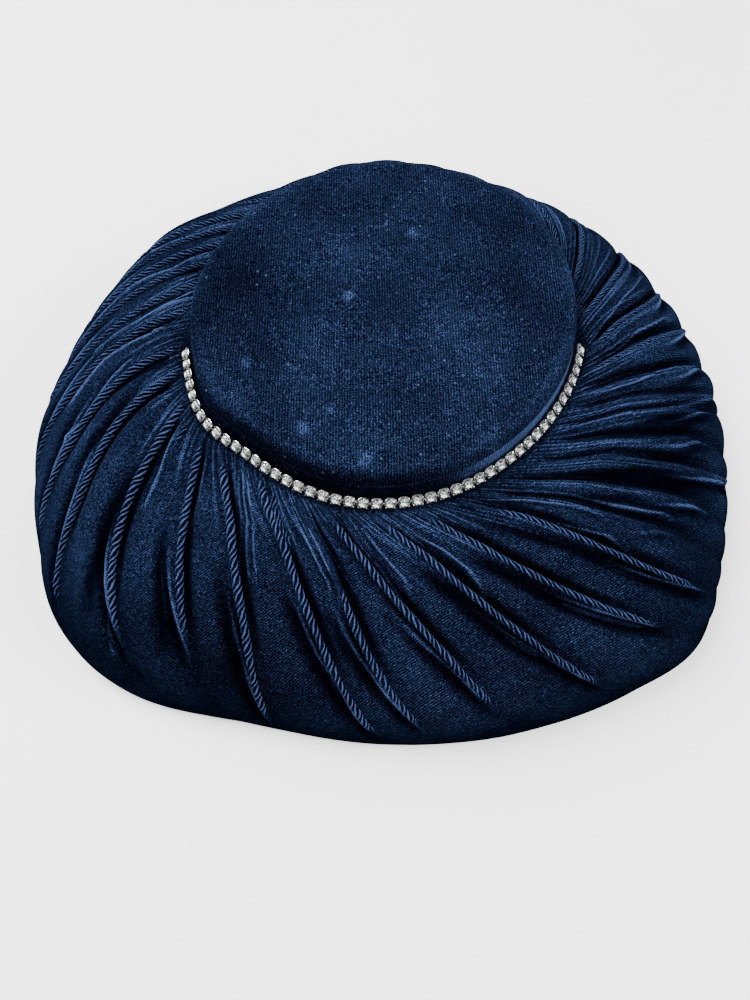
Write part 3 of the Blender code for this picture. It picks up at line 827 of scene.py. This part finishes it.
def makeTucks():
    strips = []
    for i in range(tuckCount):
        end = tucks[i][4]
        stitches = stitching.get(i, (tuckCord["start"], end, 0.9))
        strips.append(cordStrip(
            lambda share, i=i: tuckAngle(i, share), lambda share, i=i: tuckStrength(i, share),
            tuckCord["start"], end, stitches, tuckCord["slant"][i not in range(10, 26)], i * 0.37,
            tuckCord["knot"] if i in knottedTucks else 0.0,
        ))
    for k, points in enumerate(shortTucks):
        angles, shares = zip(*points)
        begin, end = shares[0], shares[-1]
        strips.append(cordStrip(
            lambda share, a=angles, s=shares: np.interp(share, s, a),
            lambda share, b=begin, e=end: 0.8 * smooth(share, b, b + 0.02) * (1.0 - smooth(share, e - 0.04, e)),
            begin, end, (begin, end, 0.9), tuckCord["slant"][1], k * 0.61,
        ))
    faces, start = [], 0
    for grid, *_ in strips:
        faces += gridFaces(*grid.shape[:2], False, start)
        start += grid.shape[0] * grid.shape[1]
    points, crest, twist, stitch = (
        np.concatenate([strip[k].reshape(-1, *strip[k].shape[2:]) for strip in strips]) for k in range(4)
    )
    values = {"crest": crest, "twist": twist, "stitch": stitch}
    return meshObject("stitchedTucks", points, faces, tuckVelvet, values)


keep(makeTucks(), "brim")

# the crown

crown = {
    "columns": 288,
    "topRings": 56,
    "edgeRings": 12,
    "wallRings": 9,
    "unevenness": 0.0005,
    "tone": 0.37,
    "edgeSheen": 0.10,          # painted sheen on the rounding
    "edgeLineSheen": 0.30,          # painted sheen in a thin line along the edge
    "dimTone": 0.30,           # painted shade: how much darker the rounding is in front and on the left
    "wallTone": 0.28,
    "wallDim": 0.24,           # painted shade: how much darker the wall is behind the chain
    "wallLit": 0.85,           # the strip on the right where the wall catches the light
}
crushMarks = [
    # right of the middle, behind it, half width, how much lighter
    (-0.014, 0.001, 0.0026, 0.34), (-0.057, -0.033, 0.0022, 0.30), (-0.032, -0.065, 0.0024, 0.32),
    (-0.021, -0.057, 0.0018, 0.26), (0.015, 0.036, 0.0024, 0.26), (-0.007, -0.079, 0.0030, 0.24),
    (0.034, -0.017, 0.0200, 0.07), (-0.030, -0.040, 0.0220, 0.05), (0.000, 0.030, 0.0240, 0.05),
    (0.045, -0.045, 0.0140, 0.06), (-0.066, 0.005, 0.0260, -0.12), (0.066, 0.000, 0.0160, -0.06),
    (0.000, 0.085, 0.0200, -0.05),
]


def makeCrown():
    shoulder = hat["crownRadius"] - hat["crownLean"]
    top = crownHeight - hat["crownDome"]
    edge = hat["crownEdge"]
    profile = []
    for share in np.linspace(0.004, 1.0, crown["topRings"]):
        out = share * (shoulder - edge)
        profile.append((out, crownHeight - hat["crownDome"] * (out / shoulder) ** 2))
    for turn in np.radians(np.linspace(6.0, 90.0, crown["edgeRings"])):
        profile.append((shoulder - edge + edge * math.sin(turn), top - edge + edge * math.cos(turn)))
    wall = top - edge
    for drop in np.linspace(0.1, 1.0, crown["wallRings"]):
        profile.append((shoulder + hat["crownLean"] * drop, wall * (1.0 - drop)))
    # the inside
    inner = shoulder - hat["crownWall"]
    small = edge - hat["crownWall"]
    ceiling = top - hat["crownWall"]
    profile.append((hat["crownRadius"] - hat["crownWall"], 0.0))
    for turn in np.radians(np.linspace(90.0, 0.0, 7)):
        profile.append((inner - small + small * math.sin(turn), ceiling - small + small * math.cos(turn)))
    for share in np.linspace(0.9, 0.01, 8):
        profile.append(((inner - small) * share, ceiling))
    radius, height = (np.array(column)[:, None] for column in zip(*profile))
    angle = (np.arange(crown["columns"]) * 360.0 / crown["columns"])[None, :]
    grid = around(radius * (1.0 + roundness(angle)), angle, crownLow.z + height)
    upper = grid[: crown["topRings"]]
    dents = np.array([noise.noise(Vector(p) * 30.0) for p in upper.reshape(-1, 3)])
    upper[..., 2] += dents.reshape(upper.shape[:2]) * crown["unevenness"]

    crest = np.full(grid.shape[:2], crown["tone"])
    for right, behind, half, amount in crushMarks:
        apart = np.hypot(grid[..., 0] - axisX - right, grid[..., 1] - axisY - behind)
        mark = bell(apart - half * 0.5, half * 0.6) if half < 0.004 else bell(apart, half)
        crest += amount * mark
    # painted sheen along the rounding
    crest += crown["edgeSheen"] * bell(radius - (shoulder - edge * 0.4), 0.0025) * (height > wall)
    # a thin painted line of sheen along the edge, on the left and at the back on the right
    fromLeft = degreesApart(angle, -135.0)
    sheenLine = smooth(fromLeft, 0.0, 20.0) * (1.0 - smooth(fromLeft, 55.0, 85.0))
    sheenLine = sheenLine + smooth(angle, 85.0, 105.0) * (1.0 - smooth(angle, 140.0, 165.0))
    crest += crown["edgeLineSheen"] * sheenLine * bell(radius - (shoulder - edge * 0.12), 0.0010) * (height > wall)
    # painted shade on the rounding in front and on the left
    dim = smooth(angle, 250.0, 285.0) + 1.0 - smooth(angle, 5.0, 25.0)
    crest -= crown["dimTone"] * dim * smooth(radius, shoulder - edge * 0.7, shoulder) * (height > wall)
    outside = crown["topRings"] + crown["edgeRings"] + crown["wallRings"] - 1
    onWall = (height < wall) & (np.arange(len(profile))[:, None] < outside)
    # painted light on the wall on the right, and painted shade on the wall in front and on the left
    lit = smooth(angle, 12.0, 34.0) * (1.0 - smooth(angle, 82.0, 100.0))
    wallCrest = crown["wallTone"] - crown["wallDim"] * np.clip(dim + lit, 0.0, 1.0) + crown["wallLit"] * lit
    crest = np.where(onWall, wallCrest, crest)
    # the rows of the pile run to the front, so they don't show on the wall at the sides
    beside = smooth(np.abs(np.sin(np.radians(angle))), 0.45, 0.85)
    weave = 1.0 - beside * smooth(radius, shoulder - edge * 1.3, shoulder - edge * 0.4)
    faces = gridFaces(*grid.shape[:2], True)
    return meshObject("crownVelvet", grid, faces, crownVelvet, {"crest": crest, "weave": weave})


keep(makeCrown(), "crown")

# the chain: cups, claws, links and stones

chain = {
    "cupSides": 16,
    "squareness": 3.4,         # of the stones and cups: 2 would be round
    "cupRim": 0.00010,
    "claw": 0.00042,
    "clawReach": 1.13,         # from the stone's middle to a claw's foot, in halves of the stone
    "clawRows": [
        # share of the reach, height, share of the claw's thickness
        (1.0, -0.0006, 1.0), (0.99, 0.0002, 1.0), (0.90, 0.00062, 0.85), (0.80, 0.00072, 0.45),
    ],
    "wireSides": 6,
    "linkHalf": 0.00055,
    "linkHeight": -0.0009,
    "stoneHalf": 0.00218,
    "stoneCrown": 0.00095,
    "middleShare": (0.80, 0.62),    # of the half and of the height, between the widest part and the flat top
    "tableShare": 0.54,
    "uneven": (4.0, 3.0, 3.0),      # degrees that a stone may lean or turn
    # painted reflections: tones that a facet may have at the rim, in front of the middle and behind it
    "rimTones": (0.60, 0.46, 0.36, 0.20),
    "frontTones": (1.0, 1.0, 0.92, 0.55),
    "backTones": (0.50, 0.38, 0.30, 0.75),
}


def squareRing(half, height, sides, turn=0.0):
    power = chain["squareness"]
    ring = []
    for k in range(sides):
        a = 2 * math.pi * (k + turn) / sides
        c, s = math.cos(a), math.sin(a)
        reach = half / (abs(c) ** power + abs(s) ** power) ** (1 / power)
        ring.append((reach * c, reach * s, height))
    return ring


def wireTurns():
    turns = [2 * math.pi * j / chain["wireSides"] for j in range(chain["wireSides"])]
    return [(math.cos(turn), math.sin(turn)) for turn in turns]


def addRings(points, faces, rings):
    start = len(points)
    sides = len(rings[0])
    for ring in rings:
        points.extend(ring)
    for r in range(len(rings) - 1):
        for k in range(sides):
            a = start + r * sides + k
            b = start + r * sides + (k + 1) % sides
            faces.append((a, b, b + sides, a + sides))
    faces.append(tuple(start + k for k in reversed(range(sides))))
    faces.append(tuple(start + (len(rings) - 1) * sides + k for k in range(sides)))


def cupMesh(points, faces, i):
    half = hat["stone"] / 2
    back = half * hat["cupBack"]
    depth = hat["cupDepth"]
    sides = chain["cupSides"]
    addRings(points, faces, [
        squareRing(back * 0.86, -depth, sides),
        squareRing(back, -depth * 0.86, sides),
        squareRing(half * 0.97, -depth * 0.25, sides),
        squareRing(half, chain["cupRim"], sides),
        squareRing(half * 0.93, chain["cupRim"] * 2.2, sides),
        squareRing(half * 0.86, -depth * 0.30, sides),
        squareRing(half * 0.30, -depth * 0.80, sides),
    ])
    for k in range(4):                                  # a claw over each corner
        a = math.pi / 4 + k * math.pi / 2
        reach = half * chain["clawReach"]
        rings = []
        for lean, height, share in chain["clawRows"]:
            x, y, size = reach * lean * math.cos(a), reach * lean * math.sin(a), chain["claw"] * share
            rings.append([(x + size * c, y + size * s, height) for c, s in wireTurns()])
        addRings(points, faces, rings)


# each facet has its own corners, so that it can have its own tone
def stoneMesh(points, faces, i):
    half = chain["stoneHalf"]
    inward, upward = chain["middleShare"]
    girdle = squareRing(half, 0.0, 16)
    middle = squareRing(half * inward, chain["stoneCrown"] * upward, 8, 0.5)
    table = squareRing(half * chain["tableShare"], chain["stoneCrown"], 8)
    low = squareRing(half * 0.97, -0.00012, 16)
    facets = [(low[k], low[(k + 1) % 16], girdle[(k + 1) % 16], girdle[k]) for k in range(16)]
    for k in range(8):
        n = (k + 1) % 8
        facets.append((girdle[2 * k], girdle[2 * k + 1], middle[k]))
        facets.append((girdle[2 * k + 1], girdle[(2 * k + 2) % 16], middle[k]))
        facets.append((girdle[2 * n], middle[n], table[n], middle[k]))
        facets.append((middle[k], table[n], table[k]))
        facets.append((table[k], table[n], (0.0, 0.0, chain["stoneCrown"])))
    facets.append(tuple(reversed(low)))
    for facet in facets:
        start = len(points)
        points.extend(facet)
        faces.append(tuple(range(start, start + len(facet))))


def linkMesh(points, faces, i):
    if i == hat["stoneCount"] - 1:
        return
    begin, wire, height = hat["stone"] / 2 * 0.9, chain["linkHalf"], chain["linkHeight"]
    addRings(points, faces, [
        [(x, wire * c, height + wire * 0.8 * s) for c, s in wireTurns()]
        for x in (begin, hat["stonePitch"] / 2, hat["stonePitch"] - begin)
    ])


# painted reflections: a stone is dim at its rim, and brightest in front of its middle
def facetReflections(points, faces):
    sparkle = random.Random(11)
    tones = np.zeros(len(points))
    for face in faces:
        aside, behind = (
            sum(points[k][axis] for k in face) / len(face) / chain["stoneHalf"] for axis in (0, 1)
        )
        if math.hypot(aside, behind) > 0.68:
            choices = chain["rimTones"]
        elif behind < 0.08:
            choices = chain["frontTones"]
        else:
            choices = chain["backTones"]
        tones[list(face)] = sparkle.choice(choices)
    return tones


def makeChain(name, material, builders, toned=False):
    points, faces, tones = [], [], []
    shake = random.Random(3)
    for i in range(hat["stoneCount"]):
        angle = stoneStep * (i - (hat["stoneCount"] - 1) / 2)
        radius = chainRadius * (1.0 + float(roundness(angle)))
        spot = Vector(around(radius, angle, chainHeight).tolist())
        twist = [math.radians(shake.uniform(-spread, spread)) for spread in chain["uneven"]]
        place = (
            Matrix.Translation(spot)
            @ Matrix.Rotation(math.radians(angle), 4, "Z")
            @ Matrix.Rotation(math.pi / 2 - tilt + twist[0], 4, "X")
            @ Matrix.Rotation(twist[1], 4, "Y")
            @ Matrix.Rotation(twist[2], 4, "Z")
        )
        onePoints, oneFaces = [], []
        for builder in builders:
            builder(onePoints, oneFaces, i)
        start = len(points)
        points.extend(place @ Vector(point) for point in onePoints)
        faces.extend(tuple(start + k for k in face) for face in oneFaces)
        if toned:
            tones.append(facetReflections(onePoints, oneFaces))
    values = {"facet": np.concatenate(tones)} if toned else None
    return meshObject(name, np.array([tuple(p) for p in points]), faces, material, values, soft=False)


settingPiece = makeChain("chainSettings", settingMaterial(), (cupMesh, linkMesh))
settingPiece.data.shade_smooth()
settingPiece.data.set_sharp_from_angle(angle=math.radians(35.0))
keep(settingPiece, "rhinestone_band")
stonePiece = makeChain("chainStones", stoneMaterial(), (stoneMesh,), toned=True)
keep(stonePiece, "rhinestone_band")

# floor, lights and camera

studio = {
    "floorSize": 3.0,
    "floorColour": (0.86, 0.86, 0.85),
    "floorMottle": 0.985,      # its darker patches, as a share of the colour
    "worldColour": (0.93, 0.96, 1.0, 1.0),
    "worldStrength": 0.85,
    "lightsAt": (0.0, 0.0, 0.05),
    "lights": [
        # name, place from there, size, power
        ("key", (-0.75, 0.55, 1.25), 1.0, 88.0),
        ("side", (1.15, -0.25, 0.75), 0.7, 34.0),
        ("front", (-0.35, -1.10, 1.20), 1.0, 26.0),
    ],
}


def makeFloor():
    bpy.ops.mesh.primitive_grid_add(x_subdivisions=2, y_subdivisions=2, size=studio["floorSize"])
    floor = bpy.context.object
    floor.name = "paleFloor"
    material, tree, shader = newMaterial("palePaper")
    place = addNode(tree, "ShaderNodeTexCoord").outputs["Object"]
    mottle = noiseNode(tree, place, 6.0, 2.0, 0.5)
    low = tuple(c * studio["floorMottle"] for c in studio["floorColour"])
    tone = colourRamp(tree, mottle, ((0.3, low), (0.7, studio["floorColour"])))
    tree.links.new(tone, shader.inputs["Base Color"])
    shader.inputs["Roughness"].default_value = 0.9
    floor.data.materials.append(material)


def makeLights():
    middle = Vector(studio["lightsAt"])
    for name, place, size, power in studio["lights"]:
        data = bpy.data.lights.new(name, "AREA")
        data.size = size
        data.energy = power
        lamp = bpy.data.objects.new(name, data)
        lamp.location = middle + Vector(place)
        lamp.rotation_euler = (-Vector(place)).to_track_quat("-Z", "Y").to_euler()
        bpy.context.scene.collection.objects.link(lamp)
    world = bpy.data.worlds.new("studio")
    world.use_nodes = True
    background = world.node_tree.nodes["Background"]
    background.inputs["Color"].default_value = studio["worldColour"]
    background.inputs["Strength"].default_value = studio["worldStrength"]
    bpy.context.scene.world = world


camera = {
    "from": (-0.0035, -0.2160, 0.2790),     # from the middle of the chain
    "down": 65.6,                           # degrees below the horizon
    "roll": -0.7,
    "lens": 27.04,
}


def makeCamera():
    data = bpy.data.cameras.new("camera")
    data.lens = camera["lens"]
    data.sensor_width = 36.0
    data.clip_start = 0.01
    obj = bpy.data.objects.new("camera", data)
    obj.location = Vector((axisX, axisY, chainHeight)) + Vector(camera["from"])
    lean = Matrix.Rotation(math.radians(90.0 - camera["down"]), 4, "X")
    obj.rotation_euler = (lean @ Matrix.Rotation(math.radians(camera["roll"]), 4, "Z")).to_euler()
    bpy.context.scene.collection.objects.link(obj)
    bpy.context.scene.camera = obj


makeFloor()
makeLights()
makeCamera()
print("stage, lights and camera made")
